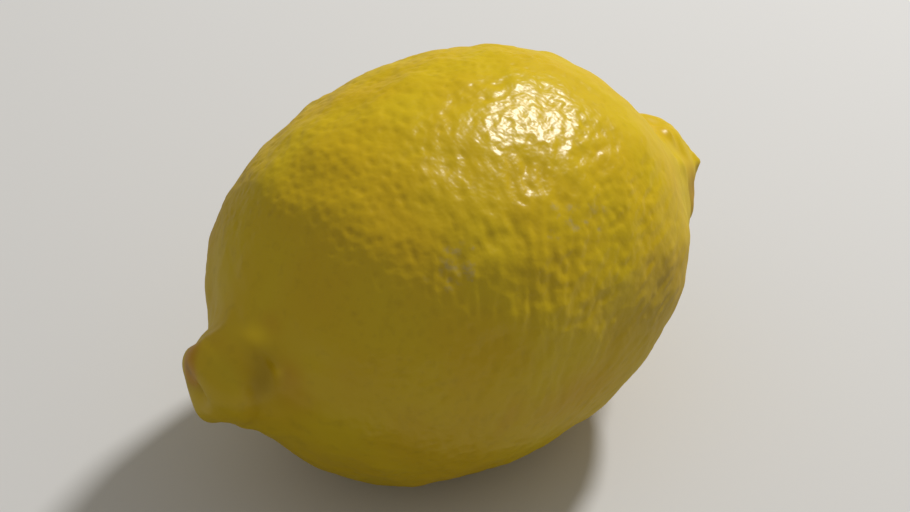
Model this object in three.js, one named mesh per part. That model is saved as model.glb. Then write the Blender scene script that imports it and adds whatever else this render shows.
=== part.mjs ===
// A whole lemon, lying on its side.
//
// Millimetres, +Z up. X runs through the fruit from its blossom end (-X) to its stem end (+X).
// The origin is the middle of the fruit's box, on the surface that it lies on.
//
// A lemon grows as one piece, so it is one closed solid. Its body is fullest a little towards the
// blossom end, where a blunt nipple stands in a ring furrow. The other end draws in to a low ribbed
// neck with the sunken scar where the stem came off. One meridian is turned about X, and the
// turned skin is then grown a little out of round, as a real fruit is.

import * as THREE from "three";

// ---- Driving dimensions ----

const BELLY_RADIUS = 30; // the widest ring
const BELLY_X = -2; // where that ring is
const BLOSSOM_SIDE = { reach: 36.3, fullness: 2.14 }; // from the belly towards the nipple
const STEM_SIDE = { reach: 39.8, fullness: 2.36 }; // from the belly towards the neck
const BODY_FROM = -32.5; // the stretch of the meridian that is plain body
const BODY_TO = 31;
const BODY_STEPS = 13;

// [x, radius] along the meridian, from the middle of the style's scar to the body
const NIPPLE = [
  [-44.4, 0], // middle of the style's scar
  [-44.8, 1.8], // rim of the scar
  [-44.1, 4.6], // crown
  [-42.3, 6.4], // shoulder
  [-40.2, 6.9], // flank
  [-38.4, 7.9], // bottom of the furrow
  [-36.9, 9.9], // lip of the furrow
];

// [x, radius] along the meridian, from the body to the middle of the stem's scar
const NECK = [
  [37.2, 12.9], // root of the neck
  [40.9, 9.6], // flank
  [43.4, 6.9], // shoulder
  [44.9, 4.9], // crown
  [45.5, 3.7], // rim of the scar
  [45.1, 2.7], // wall of the scar
  [44.5, 1.9], // floor of the scar
  [44.7, 0], // middle of the scar
];

// How the grown fruit differs from a turned one. Directions are angles about X, from +Y to +Z.
const OVAL = { lobes: 2, share: 0.01, direction: 0 }; // the belly is slightly oval
const TRIGON = { lobes: 3, share: 0.006, direction: 90 }; // and slightly three-sided

// Low swellings and, where the height is negative, hollows. Each is on one side of the fruit, and a
// higher focus keeps it to a narrower side.
const FURROW = { x: -38.2, width: 1.8, height: -0.9, direction: 148, focus: 2 }; // deepest here
const SHOULDER = { x: -34, width: 5, height: -1.2, direction: 50, focus: 2 }; // behind the nipple
const ROOT = { x: -37.7, width: 1.4, height: 1.1, direction: 240, focus: 6 }; // fills the furrow
const CHEEK = { x: -44, width: 1.4, height: 1, direction: 290, focus: 6 }; // a blunter crown
const WAIST = { x: 36.8, width: 4.6, height: -3.6, direction: 80, focus: 2 }; // beside the neck
const COLLAR = { x: 40.5, width: 2, height: -0.5, direction: 100, focus: 4 }; // a slimmer flank
const RIM = { x: 45.4, width: 0.9, height: 0.6, direction: 155, focus: 6 }; // of the stem's scar
const SWELLINGS = [FURROW, SHOULDER, ROOT, CHEEK, WAIST, COLLAR, RIM];

const NECK_LEAN = { from: 34, to: 45, reach: 2.0, direction: 225 };
const NIPPLE_LEAN = { from: -37, to: -45, reach: 0.5, direction: 120 };
const NECK_RIBS = { count: 9, height: 0.22, x: 40.4, width: 3 };
const NIPPLE_RIBS = { count: 5, height: 0.2, x: -41.5, width: 2.6 };
const CLEAR_OF_AXIS = 4; // ribs and swellings fade out inside this radius

const REST_DEPTH = 0.4; // how far the rind is pressed flat where the fruit lies

// ---- Mesh ----

const AROUND = 64; // facets around the fruit
const ALONG = 50; // facets along the meridian
const END_PULL = 0.4; // 0 spaces the rings evenly; towards 1 they crowd to the ends

const RIND_COLOUR = 0xe0b90f;
const RIND_ROUGHNESS = 0.4;

// ---- Meridian ----

/** Radius of the plain body at x: a superellipse on each side of the belly. */
function bodyRadius(x) {
  const side = x < BELLY_X ? BLOSSOM_SIDE : STEM_SIDE;
  const share = Math.abs(x - BELLY_X) / side.reach;
  return BELLY_RADIUS * Math.sqrt(1 - share ** side.fullness);
}

/** The smooth curve that is turned about the axis, with its radius in y. */
function meridianCurve() {
  const body = [];
  for (let i = 0; i <= BODY_STEPS; i++) {
    const x = THREE.MathUtils.lerp(BODY_FROM, BODY_TO, i / BODY_STEPS);
    body.push([x, bodyRadius(x)]);
  }
  const points = [...NIPPLE, ...body, ...NECK].map(([x, radius]) => new THREE.Vector3(x, radius, 0));
  return new THREE.CatmullRomCurve3(points, false, "centripetal");
}

/** Points on the meridian, closer together towards both ends, as LatheGeometry takes them. */
function meridianPoints() {
  const curve = meridianCurve();
  const points = [];
  for (let i = 0; i <= ALONG; i++) {
    const even = i / ALONG;
    const share = even - (END_PULL * Math.sin(2 * Math.PI * even)) / (2 * Math.PI);
    const { x, y: radius } = curve.getPointAt(share);
    points.push(new THREE.Vector2(i % ALONG === 0 ? 0 : radius, x));
  }
  return points;
}

// ---- Growth: small departures from a turned shape ----

/** 1 at the middle, fading to 0 about two widths away. */
const swell = (x, middle, width) => Math.exp(-(((x - middle) / width) ** 2));

/** 1 where around faces the direction in degrees, falling to 0 on the opposite side. */
const facing = (around, direction, focus) =>
  (0.5 + 0.5 * Math.cos(around - THREE.MathUtils.degToRad(direction))) ** focus;

/** Lengthwise ribs of one end, as a change of radius. */
function ribs(x, around, { count, height, x: middle, width }) {
  return height * swell(x, middle, width) * Math.cos(count * around);
}

/** A swelling (or, with a negative height, a hollow) on one side, as a change of radius. */
function swelling(x, around, { x: middle, width, height, direction, focus }) {
  return height * swell(x, middle, width) * facing(around, direction, focus);
}

/** Lobes of the section, as a share of its radius. */
function lobes(around, { lobes: count, share, direction }) {
  return share * Math.cos(count * (around - THREE.MathUtils.degToRad(direction)));
}

/** The radius that the grown fruit has where the turned one has this radius. */
function grownRadius(x, around, radius) {
  const roundness = radius / BELLY_RADIUS;
  const section = radius * (lobes(around, OVAL) + lobes(around, TRIGON)) * roundness;
  let relief = ribs(x, around, NECK_RIBS) + ribs(x, around, NIPPLE_RIBS);
  for (const place of SWELLINGS) relief += swelling(x, around, place);
  return radius + section + relief * THREE.MathUtils.smoothstep(radius, 0, CLEAR_OF_AXIS);
}

/** Sideways shift of an end that leans, as a vector in Y and Z. */
function lean(x, { from, to, reach, direction }) {
  const share = THREE.MathUtils.clamp((x - from) / (to - from), 0, 1);
  const angle = THREE.MathUtils.degToRad(direction);
  const shift = reach * share * share;
  return new THREE.Vector3(0, shift * Math.cos(angle), shift * Math.sin(angle));
}

/** Moves one vertex of the turned skin to its place on the grown fruit. */
function grow(vertex) {
  const radius = Math.hypot(vertex.y, vertex.z);
  if (radius > 0) {
    const around = Math.atan2(vertex.z, vertex.y);
    const ratio = grownRadius(vertex.x, around, radius) / radius;
    vertex.y *= ratio;
    vertex.z *= ratio;
  }
  return vertex.add(lean(vertex.x, NECK_LEAN)).add(lean(vertex.x, NIPPLE_LEAN));
}

// ---- The fruit ----

/** Sets the fruit down: its underside is pressed flat, and the origin goes to the middle of its base. */
function layDown(geometry) {
  const position = geometry.getAttribute("position");
  geometry.computeBoundingBox();
  const floor = geometry.boundingBox.min.z + REST_DEPTH;
  for (let i = 0; i < position.count; i++) position.setZ(i, Math.max(position.getZ(i), floor));
  geometry.computeBoundingBox();
  const middle = geometry.boundingBox.getCenter(new THREE.Vector3());
  geometry.translate(-middle.x, -middle.y, -floor);
}

function lemonGeometry() {
  const halfFacet = Math.PI / AROUND; // puts a column of facets, not an edge, along the underside
  const geometry = new THREE.LatheGeometry(meridianPoints(), AROUND, halfFacet);
  geometry.rotateZ(-Math.PI / 2); // the lathe turns about Y; the fruit lies along X
  const position = geometry.getAttribute("position");
  const vertex = new THREE.Vector3();
  for (let i = 0; i < position.count; i++) {
    grow(vertex.fromBufferAttribute(position, i));
    position.setXYZ(i, vertex.x, vertex.y, vertex.z);
  }
  layDown(geometry);
  geometry.computeVertexNormals();
  return geometry;
}

const rind = new THREE.MeshStandardMaterial({
  name: "rind",
  color: RIND_COLOUR,
  roughness: RIND_ROUGHNESS,
  metalness: 0,
});

const lemon = new THREE.Mesh(lemonGeometry(), rind);
lemon.name = "lemon";

const fruit = new THREE.Group();
fruit.add(lemon);

export default fruit;
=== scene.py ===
"""A whole lemon lying on a pale floor.

The CAD solid gives the fruit's shape. A fine skin is draped over it, and gets what a lemon's rind
has: soft lumps, oil gland pits, a nipple with the style's scar in a ring furrow, and a wrinkled neck
round the stem's scar. The relief and the colour patches are worked out in millimetres, and so are
the values whose names end in _MM. Other lengths are in metres.
"""

import math

import bmesh
import bpy
import numpy as np
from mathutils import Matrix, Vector, kdtree
from mathutils.bvhtree import BVHTree


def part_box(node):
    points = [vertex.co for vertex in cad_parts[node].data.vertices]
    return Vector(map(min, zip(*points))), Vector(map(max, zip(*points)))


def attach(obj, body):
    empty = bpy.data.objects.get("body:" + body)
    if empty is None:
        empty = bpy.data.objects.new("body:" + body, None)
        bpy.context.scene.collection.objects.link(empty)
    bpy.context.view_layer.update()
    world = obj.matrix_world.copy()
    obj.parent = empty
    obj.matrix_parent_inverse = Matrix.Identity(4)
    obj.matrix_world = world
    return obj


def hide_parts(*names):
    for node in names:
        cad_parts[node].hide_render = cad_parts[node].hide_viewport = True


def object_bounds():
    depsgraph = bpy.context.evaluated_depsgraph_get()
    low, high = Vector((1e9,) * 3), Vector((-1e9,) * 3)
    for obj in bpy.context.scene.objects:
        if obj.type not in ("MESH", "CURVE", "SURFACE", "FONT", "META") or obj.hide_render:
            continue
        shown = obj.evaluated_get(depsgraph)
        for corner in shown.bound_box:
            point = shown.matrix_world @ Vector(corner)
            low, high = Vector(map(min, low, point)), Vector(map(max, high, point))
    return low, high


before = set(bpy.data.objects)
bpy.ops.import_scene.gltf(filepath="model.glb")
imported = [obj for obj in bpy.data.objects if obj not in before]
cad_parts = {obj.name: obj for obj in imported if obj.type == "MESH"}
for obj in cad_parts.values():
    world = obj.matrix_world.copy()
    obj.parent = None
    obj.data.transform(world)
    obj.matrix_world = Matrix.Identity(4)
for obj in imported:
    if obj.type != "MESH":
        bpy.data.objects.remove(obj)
cad_low, cad_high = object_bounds()

MM = 0.001
SEED = 178
# What is random in the rind. Each has a random generator of its own.
PATTERNS = ["pits", "lumps", "peel", "nipple", "neck", "scuffs", "furrows", "stem_scar"]

# ---- The skin's mesh ----

SKIN_CUTS = 98  # cuts along each edge of an icosahedron: 20 * 99**2 triangles, about 0.4 mm long
WELD_MM = 0.001  # CAD vertices closer than this are one
PAIRING_ANGLE = 0.7  # radians: limit for joining two CAD triangles into one face
SMOOTHING_LEVELS = 3  # subdivisions that take the facets off the CAD solid
SMOOTHING_ROUNDS = 5  # corrections that bring the smooth solid back onto the CAD's vertices
CORE_SHARE = 0.49  # height of the fruit's core, as a share of the fruit's height
RAYS_ALONG = 600  # rays from the core that measure the solid, from the neck to the nipple
RAYS_AROUND = 12  # on this many sides
EVEN_SHARE = 0.5  # 0 keeps triangles equal-sided, 1 spaces them evenly along the fruit
LEAST_RADIUS_MM = 0.2  # keeps the spacing finite at both tips
SLICE_MM = 1.0  # thickness of the slices whose middles give the leaning axis

# ---- Relief, in millimetres. x runs from the nipple (-) to the neck (+). Directions are degrees
# about the axis, from +Y to +Z, so the front of the fruit is at 180 and its top at 90. ----

WAVE_COUNT = 32  # plane waves in one smooth noise
WAVE_SPREAD = (0.7, 1.3)  # how far their wave numbers stray, as shares
LUMPS = [(24.0, 0.12), (8.0, 0.1)]  # (wavelength, height)
PEEL = (3.2, 0.03)  # (wavelength, height) of the waviness between the pits
CLEAR_OF_FLOOR = 2.5  # relief fades out below this height, so the contact patch stays flat

# Pits and furrows are scattered dents. At its fullest a stretch makes them this many times longer
# than wide, and their long way strays by so many degrees.

PITS = {"spacing": (1.0, 1.7), "radius": (0.55, 0.9), "stretch": 3.4, "stray": 10.0}
FURROWS = {"spacing": (1.4, 2.2), "radius": (0.95, 1.5), "stretch": 4.6, "stray": 8.0}
PIT_DEPTH = 0.125
FURROW_DEPTH = 0.28
DENT_DEPTHS = (0.4, 1.0)  # how a dent's depth varies, as shares
DENT_LENGTHS = (0.5, 1.5)  # and how its stretch varies
DENT_POWER = 1.5  # a higher power gives it a softer edge
DENT_RAGGED = (1.7, 0.22)  # (wavelength, share) of the waver in its edge
PITTED_X = (-36.0, -29.0, 14.0, 31.0)  # pits fade in over the first stretch, and out over the last
PITS_LOST = 0.85  # how much of their depth is gone at the neck, as a share
STREAKED_X = (-27.0, -6.0)  # over this stretch the pits grow into streaks, and furrows appear
PLAIN_SIDE = {"direction": 75.0, "spread": 52.0, "share": 0.9}  # where they hardly do
LOWER_SIDE = {"direction": 205.0, "spread": 32.0, "share": 0.7}  # where the furrows are shallower
SPIRAL = {"x": (-6.0, 10.0), "degrees": (-16.0, -74.0)}  # streaks turn from round to lengthwise

# Features of the two ends. An "at" is the middle and the width of a ring, by distance from the axis
# at the neck, and by distance from the style's scar, in radii of that scar, at the nipple. A
# "wander" or "uneven" is the wavelength and the strength of a noise.

NIPPLE_X = (-36.0, -39.0)  # the nipple and its furrow fade in over this stretch
NIPPLE_LUMPS = (4.5, 0.08)  # (wavelength, height)
NIPPLE_FOLDS = {"count": 5, "height": 0.02, "at": (3.2, 1.4), "wander": (9.0, 2.0)}
STYLE_SCAR = {"beyond_x": -42.0, "direction": 40.0, "off_axis": 3.6, "radius": 1.0}
STYLE_DIMPLE = {"depth": 0.08, "at": (0.0, 0.8)}
STYLE_CORK = {"strength": 0.35, "edge": (1.4, 0.5)}  # it fades in between these radii of the scar
STYLE_HALO = (3.4, 2.0)  # and the orange round it between these

NECK_X = (35.0, 39.0)  # the neck fades in over this stretch
NECK_FOLDS = {"count": 19, "height": 0.05, "at": (6.0, 2.6), "wander": (8.0, 2.2)}
COLLAR_HEIGHT = 0.16
COLLAR_RIDGE = (40.6, 0.9)  # (middle, width) in x
COLLAR_GROOVE = (38.6, 0.9)
COLLAR_GROOVE_SHARE = 0.6  # its depth, as a share of the ridge's height
COLLAR_UNEVEN = (5.0, 0.3)

STEM_SCAR_RADIUS = 2.9
STEM_SCAR_X = (43.4, 44.2)  # its relief fades in over this stretch
STEM_FLOOR_EDGE = (0.3, -0.5)  # the floor fades in between these distances past the radius
STEM_HOLLOW = {"depth": 0.25, "at": (0.0, 0.7)}
STEM_BUNDLES = {"count": 10, "height": 0.1, "at": (1.7, 0.45)}
STEM_RIM = {"scallops": 13, "height": 0.1, "past_radius": 0.8, "width": 0.6}
STEM_CORK = {"strength": 0.85, "x": (42.8, 43.6), "edge": (0.9, -0.5)}
STEM_CORK_POINTS = {"count": 5, "reach": 0.25, "uneven": (2.4, 0.3)}  # of its ragged edge

# Ovals on the rind, each as strength, x, direction, half length along the fruit, half width round it
# and slant. A strength is a height in the first three lists, and a share from 0 to 1 in the others.

BODY_FORMS = [
    # low on the front: full behind the nipple, slack in the middle, and full near the neck
    (0.5, -30.0, 246.0, 3.5, 7.0, 0.0),
    (0.5, -24.0, 233.0, 4.5, 8.0, 0.0),
    (-0.4, -14.5, 226.0, 4.5, 8.0, 0.0),
    (-0.35, 18.5, 197.0, 4.0, 7.0, 0.0),
    (0.5, 26.0, 184.0, 5.0, 9.0, 0.0),
    # high on the front: full along the streaks, with a shallow hollow above
    (0.5, -6.0, 134.5, 9.0, 7.0, 0.0),
    (0.5, 15.5, 161.0, 7.0, 5.0, 0.0),
    (0.25, -9.0, 141.5, 6.0, 3.0, 0.0),
    (-0.32, 1.0, 120.0, 7.5, 4.0, 0.0),
    # swellings and hollows along the back, from the neck to the nipple
    (0.3, 27.0, 76.0, 4.0, 7.0, 0.0),
    (-0.4, 22.3, 77.0, 2.5, 6.0, 0.0),
    (0.35, 16.3, 63.5, 3.0, 6.0, 0.0),
    (0.25, 4.0, 52.0, 5.0, 6.0, 0.0),
    (-0.35, -16.0, 41.0, 4.0, 6.0, 0.0),
    (-0.4, -23.5, 29.0, 4.0, 6.0, 0.0),
    (0.25, -27.6, 19.0, 2.5, 4.0, 0.0),
]
NIPPLE_FORMS = [
    # the furrow: its lip, its deepest side, and its filled side with slack rind beside it
    (0.2, -37.2, 106.0, 1.2, 3.0, -12.0),
    (-0.1, -38.9, 142.0, 1.6, 3.0, 0.0),
    (0.75, -40.0, 240.0, 1.1, 3.0, 0.0),
    (-0.25, -37.3, 262.0, 1.3, 3.5, 0.0),
    # the crown: full at one corner and slack elsewhere
    (-0.2, -44.3, 325.0, 2.0, 3.2, 0.0),
    (0.25, -44.3, 282.0, 1.5, 2.0, 0.0),
    (-0.35, -44.6, 20.0, 1.6, 2.4, 0.0),
    (-0.6, -43.2, 235.0, 1.3, 2.7, 0.0),
    (-0.4, -42.4, 42.0, 1.4, 2.8, 0.0),
    # the body's slack side behind the nipple
    (-0.85, -36.6, 20.0, 2.4, 5.0, 0.0),
]
NECK_FORMS = [
    # two knobs of the collar, and a dent beside the second
    (0.9, 38.3, 118.0, 1.0, 1.9, 0.0),
    (0.6, 36.4, 147.0, 1.2, 1.8, 0.0),
    (-0.35, 35.3, 140.5, 0.9, 1.2, 0.0),
    # the top: the body's slack shoulder and the neck's slim root
    (-1.0, 33.8, 96.0, 2.8, 6.0, 0.0),
    (-0.3, 38.6, 92.0, 1.8, 3.8, 0.0),
    # the crown: full on top, slack next to that, and a corner on its rim
    (0.5, 42.8, 102.0, 1.6, 3.0, 0.0),
    (-0.75, 43.8, 120.0, 1.6, 4.0, 0.0),
    (0.6, 44.8, 163.0, 0.9, 1.2, 0.0),
    # the front: a slack crown, and a crease across the full root
    (-0.45, 42.8, 190.0, 1.6, 2.8, 0.0),
    (0.55, 38.4, 193.0, 1.5, 2.5, 0.0),
    (-0.4, 37.4, 174.0, 0.7, 4.5, 0.0),
    (0.4, 34.5, 202.0, 2.5, 5.0, 0.0),
]
ORANGE_PATCHES = [
    # behind the furrow
    (0.35, -35.9, 112.0, 1.0, 2.0, 0.0),
    (0.4, -36.4, 151.0, 1.0, 2.0, 0.0),
    (0.35, -36.6, 170.0, 1.5, 3.0, 0.0),
    # along the front of the body
    (0.3, -4.5, 188.0, 7.0, 4.0, 0.0),
    (0.3, -14.0, 186.0, 1.5, 4.0, 20.0),
    # the front of the neck
    (0.7, 39.3, 174.0, 1.9, 5.0, 0.0),
]
# painted shade in hollows and on shaded sides, and one dark speck of the rind's own
PAINTED_SHADE_AND_SPECKS = [
    # painted shade on the front of the neck
    (0.35, 39.3, 176.0, 1.9, 5.0, 0.0),
    # painted shade in the furrow
    (0.45, -38.2, 133.0, 1.4, 3.4, 0.0),
    (0.45, -39.7, 150.0, 1.4, 2.4, 0.0),
    # a dot on the nipple's crown
    (0.5, -44.4, 345.0, 0.7, 0.8, 0.0),
    # painted shade of deep pits, as small dark marks on the body
    (0.25, -2.5, 145.0, 1.0, 1.6, 0.0),
    (0.25, 6.5, 147.0, 0.6, 1.8, 0.0),
    (0.25, 17.0, 165.0, 0.6, 1.8, 0.0),
    (0.2, -20.5, 112.0, 1.6, 1.2, 0.0),
    # painted shade on the front of the body, towards the neck
    (0.4, 16.0, 175.0, 8.0, 6.0, 0.0),
]
PAINTED_LIGHT_AND_FLECK = [
    # painted light on the furrow's lip, a lit ridge that the shape itself leaves in shade
    (1.0, -37.3, 108.0, 0.7, 2.2, -14.0),
    # a small pale fleck further round the furrow
    (0.5, -37.3, 148.0, 0.4, 0.8, 0.0),
]
GREEN_PATCHES = [
    # the nipple
    (0.3, -43.0, 128.0, 2.2, 4.0, 0.0),
]

# Groups of small pale rubs: how many, and what scuff() takes
SCUFFS = [
    (22, {"x": -16.5, "direction": 135.0, "reach": 2.4, "size": (0.25, 0.75)}),
    (20, {"x": 2.5, "direction": 139.5, "reach": 3.0, "size": (0.25, 0.7)}),
]
SCUFF_SPREAD = 3.0  # degrees
SCUFF_STRENGTHS = (0.3, 1.0)
SCUFF_SLANTS = (-60.0, 60.0)

# ---- Colours of the rind, as linear red, green and blue ----

LEMON_YELLOW = (0.72, 0.51, 0.003)
DEEP_YELLOW = (0.70, 0.46, 0.002)
OLIVE = (0.50, 0.33, 0.002)
ORANGE = (0.62, 0.31, 0.003)
GREEN = (0.55, 0.46, 0.003)
# brown for the painted shade, and for one dark speck
SHADE_AND_SPECK_BROWN = (0.36, 0.22, 0.004)
# painted light on the furrow's lip, and a small pale fleck
PAINTED_LIGHT_AND_FLECK_YELLOW = (0.88, 0.62, 0.006)
SCUFF = (0.60, 0.44, 0.10)
BARK = (0.17, 0.09, 0.03)
CORK = (0.36, 0.20, 0.05)
PALE_CORK = (0.46, 0.30, 0.10)

# ---- How the rind's colours and gloss vary. While a noise or a mask goes from low to high, the
# result goes from to_low to to_high, which are 0 and 1 where they aren't given. ----

DRIFT = {"size_mm": 14.0, "detail": 3.0, "low": 0.35, "high": 0.65}  # between the two yellows
MOTTLE = {"size_mm": 2.2, "detail": 3.0, "low": 0.55, "high": 0.75, "to_high": 0.3}
WEAR = {"size_mm": 0.6, "detail": 2.0, "low": 0.35, "high": 0.6, "to_low": 0.3}  # in the pale rubs
CORK_GRAIN = {"size_mm": 0.8, "detail": 4.0, "low": 0.3, "high": 0.7, "to_low": 0.35}
WAX = {"size_mm": 3.0, "detail": 2.0, "low": 0.3, "high": 0.7, "to_low": 0.36, "to_high": 0.46}
# olive in the pits and furrows: partly the rind's own tint, partly painted shade of the hollows
OLIVE_AND_SHADE_IN_PITS = {"low": 0.2, "high": 1.0, "to_high": 0.4}
PIT_OLIVE_AND_SHADE_SHARE = 0.65  # how olive and shaded the pits are painted, as a share of the furrows
PALE_IN_SCUFFS = {"low": 0.1, "high": 0.8, "to_high": 0.85}
DULL_IN_SCARS = {"low": 0.0, "high": 1.0, "to_high": 0.4}

RIND_GLOSS = {"Specular IOR Level": 0.0, "Coat Weight": 0.28, "Coat Roughness": 0.33, "Coat IOR": 2.08}
GRAIN = {"size_mm": 1.1, "detail": 1.2}
GRAIN_DEPTH_MM = 0.21
GRAIN_STRENGTHS = {"Normal": 0.25, "Coat Normal": 0.7}  # on the rind, and on its coat of wax

# ---- Camera, light and floor ----

CAMERA_AZIMUTH = -40.1
CAMERA_ELEVATION = 38.7
CAMERA_DISTANCE = 0.3175
CAMERA_LENS = 85.0
CAMERA_NEAR = 0.01  # nothing closer is drawn
CAMERA_AIM = Vector((0.0012, 0.0008, -0.0009))  # from the middle of the fruit

KEY_DIRECTION = Vector((0.64, 0.12, 0.645))
KEY_DISTANCE = 0.9
KEY_SIZE = 0.12
KEY_POWER = 6.0
WORLD_COLOUR = (1.0, 0.97, 0.9)
WORLD_STRENGTH = 0.29

FLOOR = (0.76, 0.75, 0.735)
FLOOR_BOUNCE = (0.42, 0.42, 0.42)
FLOOR_GLOSS = {"Roughness": 0.9, "Specular IOR Level": 0.1}
FLOOR_RADIUS = 6.0
FLOOR_SIDES = 64


def smooth_step(start, end, value):
    """0 at the start and 1 at the end, whichever of them is larger, and smooth between them."""
    t = np.clip((value - start) / (end - start), 0.0, 1.0)
    return t * t * (3.0 - 2.0 * t)


def bell(value, middle, width):
    """1 at the middle, fading to 0 about two widths away."""
    return np.exp(-(((value - middle) / width) ** 2))


def turn_from(around, direction):
    """Degrees from a direction round to each point, from -180 to 180."""
    return (np.degrees(around) - direction + 180.0) % 360.0 - 180.0


def towards(around, direction, spread):
    """1 where around (radians) faces the direction, fading over the spread (both degrees)."""
    return np.exp(-((turn_from(around, direction) / spread) ** 2))


def away_from(around, direction, spread, share):
    """1 well away from a direction, and less by the share where around faces it."""
    return 1.0 - share * towards(around, direction, spread)


def waves(places, rng, wavelength, height):
    """Smooth noise, mostly within the height: plane waves of about one length in all directions."""
    directions = rng.normal(size=(WAVE_COUNT, 3))
    directions /= np.linalg.norm(directions, axis=1)[:, None]
    phases = rng.uniform(0.0, 2.0 * np.pi, WAVE_COUNT)
    steps = 2.0 * np.pi / wavelength * rng.uniform(*WAVE_SPREAD, WAVE_COUNT)
    swings = np.sin(places.points @ (directions * steps[:, None]).T + phases)
    return height * (swings.sum(axis=1) / math.sqrt(WAVE_COUNT / 2))


def generators():
    """A random generator for each pattern, so that a change in one leaves the others alone."""
    return dict(zip(PATTERNS, np.random.default_rng(SEED).spawn(len(PATTERNS))))


# ---- Draping the skin ----


def vertices_of(mesh):
    points = np.zeros(len(mesh.vertices) * 3)
    mesh.vertices.foreach_get("co", points)
    return points.reshape(-1, 3)


def normals_of(mesh):
    normals = np.zeros(len(mesh.vertices) * 3)
    mesh.vertex_normals.foreach_get("vector", normals)
    return normals.reshape(-1, 3)


def move_vertices(mesh, points):
    mesh.vertices.foreach_set("co", points.ravel())
    mesh.update()


def joined_facets(node):
    """A copy of a CAD node's mesh with its corners welded and its triangles paired up."""
    bm = bmesh.new()
    bm.from_mesh(node.data)
    bmesh.ops.remove_doubles(bm, verts=bm.verts, dist=WELD_MM * MM)
    bmesh.ops.join_triangles(
        bm,
        faces=bm.faces,
        angle_face_threshold=PAIRING_ANGLE,
        angle_shape_threshold=PAIRING_ANGLE,
    )
    mesh = bpy.data.meshes.new("facets")
    bm.to_mesh(mesh)
    bm.free()
    return mesh


def smooth_solid(node):
    """The CAD solid with its facets smoothed away, passing through the CAD's own vertices."""
    mesh = joined_facets(node)
    solid = bpy.data.objects.new("smooth_solid", mesh)
    bpy.context.scene.collection.objects.link(solid)
    smoothing = solid.modifiers.new("smooth", "SUBSURF")
    smoothing.levels = 1
    wanted = vertices_of(mesh)
    control = wanted.copy()
    for _ in range(SMOOTHING_ROUNDS):
        depsgraph = bpy.context.evaluated_depsgraph_get()
        depsgraph.update()
        control += wanted - vertices_of(solid.evaluated_get(depsgraph).data)[: len(wanted)]
        move_vertices(mesh, control)
    smoothing.levels = SMOOTHING_LEVELS
    tree = BVHTree.FromObject(solid, bpy.context.evaluated_depsgraph_get())
    bpy.data.objects.remove(solid)
    bpy.data.meshes.remove(mesh)
    return tree


def cast(tree, core, directions):
    """Where rays from the core meet the solid."""
    return np.array([tree.ray_cast(core, Vector(direction))[0] for direction in directions])


def turned(slopes, around):
    """Unit vectors at these angles from +X, turned about X."""
    across = np.sin(slopes)
    return np.stack([np.cos(slopes), across * np.cos(around), across * np.sin(around)], axis=1)


def mean_meridian(tree, core, slopes):
    """The solid's mean outline: x from the core and radius, where rays at these slopes meet it."""
    meridians = []
    for around in np.arange(RAYS_AROUND) * 2.0 * np.pi / RAYS_AROUND:
        hits = cast(tree, core, turned(slopes, np.full(len(slopes), around))) - np.array(core)
        meridians.append(np.stack([hits[:, 0], np.hypot(hits[:, 1], hits[:, 2])], axis=1))
    return np.mean(meridians, axis=0)


def slope_map(tree, core):
    """Rising lists: angles from +X on a sphere, and the ray slopes that spread them over the solid."""
    slopes = np.linspace(0.0, np.pi, RAYS_ALONG)
    meridian = mean_meridian(tree, core, slopes)
    pieces = np.linalg.norm(np.diff(meridian, axis=0), axis=1)
    radii = (meridian[1:, 1] + meridian[:-1, 1]) / 2.0
    length = np.concatenate([[0.0], np.cumsum(pieces)])
    even = np.pi * length / length[-1]
    mercator = np.concatenate([[0.0], np.cumsum(pieces / np.maximum(radii, LEAST_RADIUS_MM * MM))])
    widest = mercator[np.argmax(meridian[:, 1])]
    equal_sided = 2.0 * np.arctan(np.exp(mercator - widest))
    angles = EVEN_SHARE * even + (1.0 - EVEN_SHARE) * equal_sided
    angles[0], angles[-1] = 0.0, np.pi
    return angles, slopes


def fine_sphere():
    """A mesh of small, nearly equal triangles, and its vertices on a unit sphere with poles on X."""
    bm = bmesh.new()
    bmesh.ops.create_icosphere(bm, subdivisions=1, radius=1.0)
    bmesh.ops.subdivide_edges(bm, edges=bm.edges, cuts=SKIN_CUTS, use_grid_fill=True)
    mesh = bpy.data.meshes.new("lemon_rind")
    bm.to_mesh(mesh)
    bm.free()
    points = vertices_of(mesh)[:, [2, 0, 1]]
    return mesh, points / np.linalg.norm(points, axis=1)[:, None]


def drape(node):
    """A fine mesh over the CAD node."""
    tree = smooth_solid(node)
    low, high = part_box(node.name)
    core = Vector(((low.x + high.x) / 2, 0.0, low.z + CORE_SHARE * (high.z - low.z)))
    mesh, sphere = fine_sphere()
    angles, slopes = slope_map(tree, core)
    polar = np.arccos(np.clip(sphere[:, 0], -1.0, 1.0))
    around = np.arctan2(sphere[:, 2], sphere[:, 1])
    move_vertices(mesh, cast(tree, core, turned(np.interp(polar, angles, slopes), around)))
    return mesh


def leaning_axis(points):
    """The middles of thin slices across X, as lists of their x, y and z."""
    x = points[:, 0]
    slices = np.arange(x.min(), x.max() + SLICE_MM, SLICE_MM)
    which = np.digitize(x, slices) - 1
    count = np.maximum(np.bincount(which, minlength=len(slices)), 1)
    y, z = (np.bincount(which, points[:, k], len(slices)) / count for k in (1, 2))
    middles = slices + SLICE_MM / 2
    return middles[:-1], y[:-1], z[:-1]  # the last slice starts past the fruit's end


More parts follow.
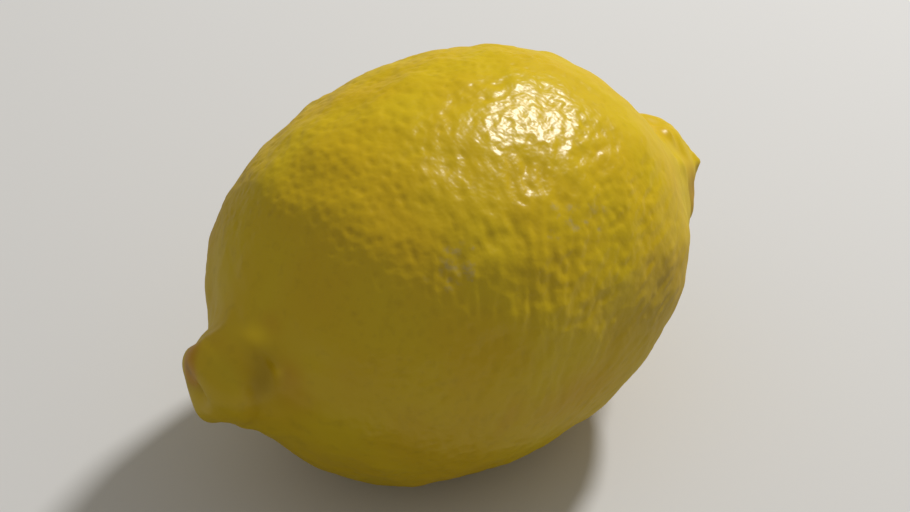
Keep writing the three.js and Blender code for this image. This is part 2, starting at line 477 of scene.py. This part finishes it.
class Places:
    """Where the skin's vertices are: along the fruit, about its leaning axis, and across it."""

    def __init__(self, mesh):
        self.points = vertices_of(mesh) / MM
        self.normals = normals_of(mesh)
        self.x = self.points[:, 0]
        axis_x, axis_y, axis_z = leaning_axis(self.points)
        y = self.points[:, 1] - np.interp(self.x, axis_x, axis_y)
        z = self.points[:, 2] - np.interp(self.x, axis_x, axis_z)
        self.around = np.arctan2(z, y)
        self.radius = np.hypot(y, z)
        self.streaked = smooth_step(*STREAKED_X, self.x) * away_from(self.around, **PLAIN_SIDE)


# ---- Relief of the body ----


def lumps(places, rng):
    """Broad, soft lumps."""
    return sum(waves(places, rng, *lump) for lump in LUMPS)


def peel(places, rng):
    """Shallow waviness between the pits."""
    return waves(places, rng, *PEEL)


def pitted(places):
    """How much of the pits' depth is left, from 0 to 1."""
    fade_in, full_in, full_out, fade_out = PITTED_X
    faded = PITS_LOST * smooth_step(full_out, fade_out, places.x)
    return smooth_step(fade_in, full_in, places.x) * (1.0 - faded)


def furrowed(places):
    """How much of the furrows' depth is left, from 0 to 1."""
    return pitted(places) * places.streaked * away_from(places.around, **LOWER_SIDE)


def vertex_tree(points):
    """A tree that finds the points near a place."""
    tree = kdtree.KDTree(len(points))
    for i, point in enumerate(points):
        tree.insert(point, i)
    tree.balance()
    return tree


def dent_ways(places, i, degrees):
    """The long and short ways of a dent at vertex i. At 0 degrees the long way is round the fruit."""
    ring = np.array([0.0, -math.sin(places.around[i]), math.cos(places.around[i])])
    along = np.cross(places.normals[i], ring)
    tilt = math.radians(degrees)
    long_way = ring * math.cos(tilt) + along * math.sin(tilt)
    short_way = along * math.cos(tilt) - ring * math.sin(tilt)
    return long_way, short_way


def scatter(places, rng, spacing, radius, stretch, stray):
    """How deep each point lies in one of many scattered dents, from 0 to 1."""
    points = places.points
    tree = vertex_tree(points)
    depth = np.zeros(len(points))
    taken = np.zeros(len(points), bool)
    ragged = 1.0 + waves(places, rng, *DENT_RAGGED)
    spiral = np.interp(places.x, SPIRAL["x"], SPIRAL["degrees"])
    for i in rng.permutation(len(points)):
        if taken[i]:
            continue
        apart, half_width = rng.uniform(*spacing), rng.uniform(*radius)
        longer = 1.0 + (stretch - 1.0) * places.streaked[i] * rng.uniform(*DENT_LENGTHS)
        near = np.array([found[1] for found in tree.find_range(points[i], apart * longer)])
        step = points[near] - points[i]
        long_way, short_way = dent_ways(places, i, spiral[i] + rng.uniform(-stray, stray))
        away = np.hypot(step @ long_way / longer, step @ short_way)
        taken[near[away < apart]] = True
        bowl = np.clip(1.0 - (away * ragged[near] / half_width) ** 2, 0.0, 1.0) ** DENT_POWER
        depth[near] = np.maximum(depth[near], rng.uniform(*DENT_DEPTHS) * bowl)
    return depth


def spot(places, x, direction, long, wide, slant):
    """A soft oval: long is its half length along the fruit, before it is turned by the slant."""
    along = places.x - x
    across = np.radians(turn_from(places.around, direction)) * places.radius
    turn = math.radians(slant)
    long_way = along * math.cos(turn) + across * math.sin(turn)
    short_way = across * math.cos(turn) - along * math.sin(turn)
    return np.exp(-((long_way / long) ** 2) - (short_way / wide) ** 2)


def ovals(places, rows):
    """Soft ovals, each times its strength, added up."""
    return sum(strength * spot(places, *oval) for strength, *oval in rows)


# ---- Relief of the two ends ----


def folds(places, rng, end, distance, count, height, at, wander):
    """Wandering lengthwise folds of one end, in a ring at some distance from its axis or scar."""
    swings = np.cos(count * places.around + waves(places, rng, *wander))
    return height * end * swings * bell(distance, *at)


def off_line(places, direction, off_axis):
    """Distance from a line that runs beside the leaning axis."""
    line = math.radians(direction)
    y = places.radius * np.cos(places.around) - off_axis * math.cos(line)
    z = places.radius * np.sin(places.around) - off_axis * math.sin(line)
    return np.hypot(y, z)


def from_style_scar(places):
    """Distance from the middle of the style's scar, in radii of the scar, or infinite elsewhere."""
    away = off_line(places, STYLE_SCAR["direction"], STYLE_SCAR["off_axis"]) / STYLE_SCAR["radius"]
    return np.where(places.x < STYLE_SCAR["beyond_x"], away, math.inf)


def nipple_relief(places, rng):
    """Soft lumps, fine folds round the style's scar, and the scar's dimple."""
    nipple = smooth_step(*NIPPLE_X, places.x)
    scar = from_style_scar(places)
    relief = nipple * waves(places, rng, *NIPPLE_LUMPS)
    relief += folds(places, rng, nipple, scar, **NIPPLE_FOLDS)
    relief -= STYLE_DIMPLE["depth"] * bell(scar, *STYLE_DIMPLE["at"])
    return relief + ovals(places, NIPPLE_FORMS)


def collar(places, rng):
    """A low, uneven ridge round the neck, with a groove behind it."""
    profile = bell(places.x, *COLLAR_RIDGE) - COLLAR_GROOVE_SHARE * bell(places.x, *COLLAR_GROOVE)
    return COLLAR_HEIGHT * profile * (1.0 + waves(places, rng, *COLLAR_UNEVEN))


def inside_stem_scar(edge, radius):
    """1 inside the stem's scar and 0 outside it. The edge is a stretch past the scar's radius."""
    outer, inner = edge
    return smooth_step(STEM_SCAR_RADIUS + outer, STEM_SCAR_RADIUS + inner, radius)


def stem_floor(places, end):
    """The scar's floor, sunken in the middle, with a ring of bundle scars."""
    floor = inside_stem_scar(STEM_FLOOR_EDGE, places.radius)
    ring = np.cos(STEM_BUNDLES["count"] * places.around) * bell(places.radius, *STEM_BUNDLES["at"])
    hollow = STEM_HOLLOW["depth"] * bell(places.radius, *STEM_HOLLOW["at"])
    return end * floor * (STEM_BUNDLES["height"] * ring - hollow)


def stem_rim(places, end):
    """The scalloped rim round the scar."""
    ridge = bell(places.radius, STEM_SCAR_RADIUS + STEM_RIM["past_radius"], STEM_RIM["width"])
    return STEM_RIM["height"] * end * ridge * np.cos(STEM_RIM["scallops"] * places.around)


def neck_relief(places, rng):
    """Folds that run into the neck, a low collar, and the woody stem scar."""
    neck = smooth_step(*NECK_X, places.x)
    end = smooth_step(*STEM_SCAR_X, places.x)
    relief = folds(places, rng, neck, places.radius, **NECK_FOLDS)
    relief += collar(places, rng)
    relief += stem_floor(places, end)
    relief += stem_rim(places, end)
    return relief + ovals(places, NECK_FORMS)


# ---- Masks for the rind's material, each from 0 to 1 ----


def patches(places, rows):
    """Ovals whose sum stays a share."""
    return np.clip(ovals(places, rows), 0.0, 1.0)


def scuff(rng, x, direction, reach, size):
    """One small pale rub, as an oval."""
    x += rng.normal(0.0, reach)
    direction += rng.normal(0.0, SCUFF_SPREAD)
    long, wide = rng.uniform(*size, 2)
    strength = rng.uniform(*SCUFF_STRENGTHS)
    return strength, x, direction, long, wide, rng.uniform(*SCUFF_SLANTS)


def scuffs(places, rng):
    """Small pale rubs in groups along a line down the fruit."""
    return patches(places, [scuff(rng, **group) for count, group in SCUFFS for _ in range(count)])


def orange(places):
    """Orange patches, and a halo round the style's scar."""
    halo = smooth_step(*STYLE_HALO, from_style_scar(places))
    return np.clip(ovals(places, ORANGE_PATCHES) + halo, 0.0, 1.0)


def style_cork(places):
    """The dry scar of the style."""
    return STYLE_CORK["strength"] * smooth_step(*STYLE_CORK["edge"], from_style_scar(places))


def stem_cork(places, rng):
    """The dry scar of the stem, with a ragged edge in a few faint points."""
    points = STEM_CORK_POINTS["reach"] * np.cos(STEM_CORK_POINTS["count"] * places.around)
    ragged = places.radius + points + waves(places, rng, *STEM_CORK_POINTS["uneven"])
    end = smooth_step(*STEM_CORK["x"], places.x)
    return STEM_CORK["strength"] * end * inside_stem_scar(STEM_CORK["edge"], ragged)


def material_masks(places, pit, furrow, rng):
    """What the rind's material reads, by name."""
    return {
        # olive pits and furrows, partly painted shade of the hollows
        "pit": np.maximum(PIT_OLIVE_AND_SHADE_SHARE * pit, furrow),
        "style_scar": style_cork(places),
        "stem_scar": stem_cork(places, rng["stem_scar"]),
        "orange": orange(places),
        "green": patches(places, GREEN_PATCHES),
        # painted shade, and one dark speck
        "painted_shade_and_speck": patches(places, PAINTED_SHADE_AND_SPECKS),
        # painted light on the furrow's lip, and a pale fleck
        "painted_light_and_fleck": patches(places, PAINTED_LIGHT_AND_FLECK),
        "scuff": scuffs(places, rng["scuffs"]),
        "grain": pitted(places),
    }


# ---- The rind ----


def raise_skin(mesh, places, height):
    """Moves the skin out by the height, but leaves it alone where the fruit lies on the floor."""
    height = height * smooth_step(0.0, CLEAR_OF_FLOOR, places.points[:, 2])
    points = (places.points + places.normals * height[:, None]) * MM
    points[:, 2] = np.maximum(points[:, 2], 0.0)
    move_vertices(mesh, points)
    mesh.shade_smooth()


def add_values(mesh, name, values):
    mesh.attributes.new(name, "FLOAT", "POINT").data.foreach_set("value", values.astype(np.float32))


def make_rind(node):
    """The fruit's skin, with its relief and its masks."""
    mesh = drape(node)
    places = Places(mesh)
    rng = generators()
    pit = pitted(places) * scatter(places, rng["pits"], **PITS)
    furrow = furrowed(places) * scatter(places, rng["furrows"], **FURROWS)
    height = lumps(places, rng["lumps"]) + peel(places, rng["peel"])
    height -= PIT_DEPTH * pit + FURROW_DEPTH * furrow
    forms = ovals(places, BODY_FORMS) + nipple_relief(places, rng["nipple"])
    height += forms + neck_relief(places, rng["neck"])
    raise_skin(mesh, places, height)
    for name, values in material_masks(places, pit, furrow, rng).items():
        add_values(mesh, name, values)
    piece = bpy.data.objects.new("lemon_rind", mesh)
    bpy.context.scene.collection.objects.link(piece)
    return piece


# ---- Materials ----

# Places of a colour Mix node's sockets, whose names are also those of its hidden sockets
MIX_SHARE, MIX_FIRST, MIX_SECOND, MIX_RESULT = 0, 6, 7, 2


def new_material(name):
    material = bpy.data.materials.new(name)
    material.use_nodes = True
    return material, material.node_tree, material.node_tree.nodes["Principled BSDF"]


def set_sockets(shader, values):
    for name, value in values.items():
        shader.inputs[name].default_value = value


def add_node(tree, kind, sockets=None, **properties):
    """A new node, its sockets given values or links."""
    node = tree.nodes.new("ShaderNode" + kind)
    for name, value in properties.items():
        setattr(node, name, value)
    for name, value in (sockets or {}).items():
        if isinstance(value, bpy.types.NodeSocket):
            tree.links.new(value, node.inputs[name])
        else:
            node.inputs[name].default_value = value
    return node


def mix_colour(tree, share, first, second):
    """A share of the second colour over the first. The share is a socket, a colour may be a tuple."""
    sockets = {MIX_SHARE: share}
    for place, colour in ((MIX_FIRST, first), (MIX_SECOND, second)):
        sockets[place] = (*colour, 1.0) if isinstance(colour, tuple) else colour
    return add_node(tree, "Mix", sockets, data_type="RGBA").outputs[MIX_RESULT]


def join(tree, operation, first, second):
    """Two values put together by a Math node."""
    return add_node(tree, "Math", {0: first, 1: second}, operation=operation).outputs[0]


def attribute(tree, name):
    return add_node(tree, "Attribute", attribute_name=name).outputs["Fac"]


def noise(tree, size_mm, detail):
    """Noise of about 0 to 1 whose blobs are this big."""
    place = add_node(tree, "TexCoord").outputs["Object"]
    sockets = {"Vector": place, "Scale": 1.0 / (size_mm * MM), "Detail": detail}
    return add_node(tree, "TexNoise", sockets).outputs["Fac"]


def ramp(tree, value, low, high, to_low=0.0, to_high=1.0):
    """Goes from to_low to to_high while the value goes from low to high."""
    sockets = {
        "Value": value,
        "From Min": low,
        "From Max": high,
        "To Min": to_low,
        "To Max": to_high,
    }
    return add_node(tree, "MapRange", sockets).outputs["Result"]


def blotches(tree, size_mm, detail, **levels):
    """Noise between two levels."""
    return ramp(tree, noise(tree, size_mm, detail), **levels)


def rind_colour(tree):
    """Mottled yellows with olive pits and furrows that are partly painted shade, tinted patches,
    patches of painted shade and painted light, pale rubs and two corky scars.
    """
    colour = mix_colour(tree, blotches(tree, **DRIFT), LEMON_YELLOW, DEEP_YELLOW)
    colour = mix_colour(tree, blotches(tree, **MOTTLE), colour, OLIVE)
    # olive in the pits and furrows, partly painted shade of the hollows
    colour = mix_colour(tree, ramp(tree, attribute(tree, "pit"), **OLIVE_AND_SHADE_IN_PITS), colour, OLIVE)
    # the last two tints are painted shade and painted light
    for name, tint in (("orange", ORANGE), ("green", GREEN), ("painted_shade_and_speck", SHADE_AND_SPECK_BROWN), ("painted_light_and_fleck", PAINTED_LIGHT_AND_FLECK_YELLOW)):
        colour = mix_colour(tree, attribute(tree, name), colour, tint)
    worn = join(tree, "MULTIPLY", attribute(tree, "scuff"), blotches(tree, **WEAR))
    colour = mix_colour(tree, ramp(tree, worn, **PALE_IN_SCUFFS), colour, SCUFF)
    grain = blotches(tree, **CORK_GRAIN)
    for name, cork in (("style_scar", CORK), ("stem_scar", PALE_CORK)):
        colour = mix_colour(tree, attribute(tree, name), colour, mix_colour(tree, grain, BARK, cork))
    return colour


def rind_roughness(tree):
    """Waxy, with soft variation, and dull on both scars."""
    scars = join(tree, "MAXIMUM", attribute(tree, "style_scar"), attribute(tree, "stem_scar"))
    return join(tree, "ADD", blotches(tree, **WAX), ramp(tree, scars, **DULL_IN_SCARS))


def rind_material():
    """Rind under a coat of wax, both with a fine grain."""
    material, tree, shader = new_material("rind")
    tree.links.new(rind_colour(tree), shader.inputs["Base Color"])
    tree.links.new(rind_roughness(tree), shader.inputs["Roughness"])
    set_sockets(shader, RIND_GLOSS)
    grain = join(tree, "MULTIPLY", noise(tree, **GRAIN), attribute(tree, "grain"))
    for socket, strength in GRAIN_STRENGTHS.items():
        relief = {"Height": grain, "Strength": strength, "Distance": GRAIN_DEPTH_MM * MM}
        tree.links.new(add_node(tree, "Bump", relief).outputs["Normal"], shader.inputs[socket])
    return material


def floor_material():
    """Pale, but it throws only a little light back up at the fruit."""
    material, tree, shader = new_material("floor")
    path = add_node(tree, "LightPath").outputs
    seen = join(tree, "MAXIMUM", path["Is Camera Ray"], path["Is Glossy Ray"])
    seen = join(tree, "MAXIMUM", seen, path["Is Transmission Ray"])
    tree.links.new(mix_colour(tree, seen, FLOOR_BOUNCE, FLOOR), shader.inputs["Base Color"])
    set_sockets(shader, FLOOR_GLOSS)
    return material


# ---- Stage ----


def make_floor():
    """A pale disc, far wider than the view."""
    bm = bmesh.new()
    bmesh.ops.create_circle(bm, cap_ends=True, segments=FLOOR_SIDES, radius=FLOOR_RADIUS)
    mesh = bpy.data.meshes.new("floor")
    bm.to_mesh(mesh)
    bm.free()
    mesh.materials.append(floor_material())
    floor = bpy.data.objects.new("floor", mesh)
    bpy.context.scene.collection.objects.link(floor)


def make_key(middle):
    """A soft lamp over the neck."""
    lamp = bpy.data.lights.new("key", "AREA")
    lamp.shape = "DISK"
    lamp.size = KEY_SIZE
    lamp.energy = KEY_POWER
    key = bpy.data.objects.new("key", lamp)
    direction = KEY_DIRECTION.normalized()
    key.location = middle + direction * KEY_DISTANCE
    key.rotation_euler = direction.to_track_quat("Z", "Y").to_euler()
    bpy.context.scene.collection.objects.link(key)


def make_world():
    """Soft, slightly warm light from all round."""
    world = bpy.data.worlds.new("studio")
    world.use_nodes = True
    bpy.context.scene.world = world
    light = world.node_tree.nodes["Background"]
    light.inputs["Color"].default_value = (*WORLD_COLOUR, 1.0)
    light.inputs["Strength"].default_value = WORLD_STRENGTH


def make_camera(middle):
    """Looks down at the front of the fruit, with the nipple nearer than the neck."""
    azimuth, elevation = math.radians(CAMERA_AZIMUTH), math.radians(CAMERA_ELEVATION)
    flat = math.cos(elevation)
    back = Vector((math.sin(azimuth) * flat, -math.cos(azimuth) * flat, math.sin(elevation)))
    data = bpy.data.cameras.new("camera")
    data.lens = CAMERA_LENS
    data.clip_start = CAMERA_NEAR
    camera = bpy.data.objects.new("camera", data)
    camera.location = middle + CAMERA_AIM + back * CAMERA_DISTANCE
    camera.rotation_euler = back.to_track_quat("Z", "Y").to_euler()
    bpy.context.scene.collection.objects.link(camera)
    bpy.context.scene.camera = camera


middle = (cad_low + cad_high) / 2
make_camera(middle)
make_floor()
make_key(middle)
make_world()
bpy.context.scene.view_settings.view_transform = "Standard"

lemon = make_rind(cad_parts["lemon"])
lemon.data.materials.append(rind_material())
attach(lemon, "root")
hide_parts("lemon")
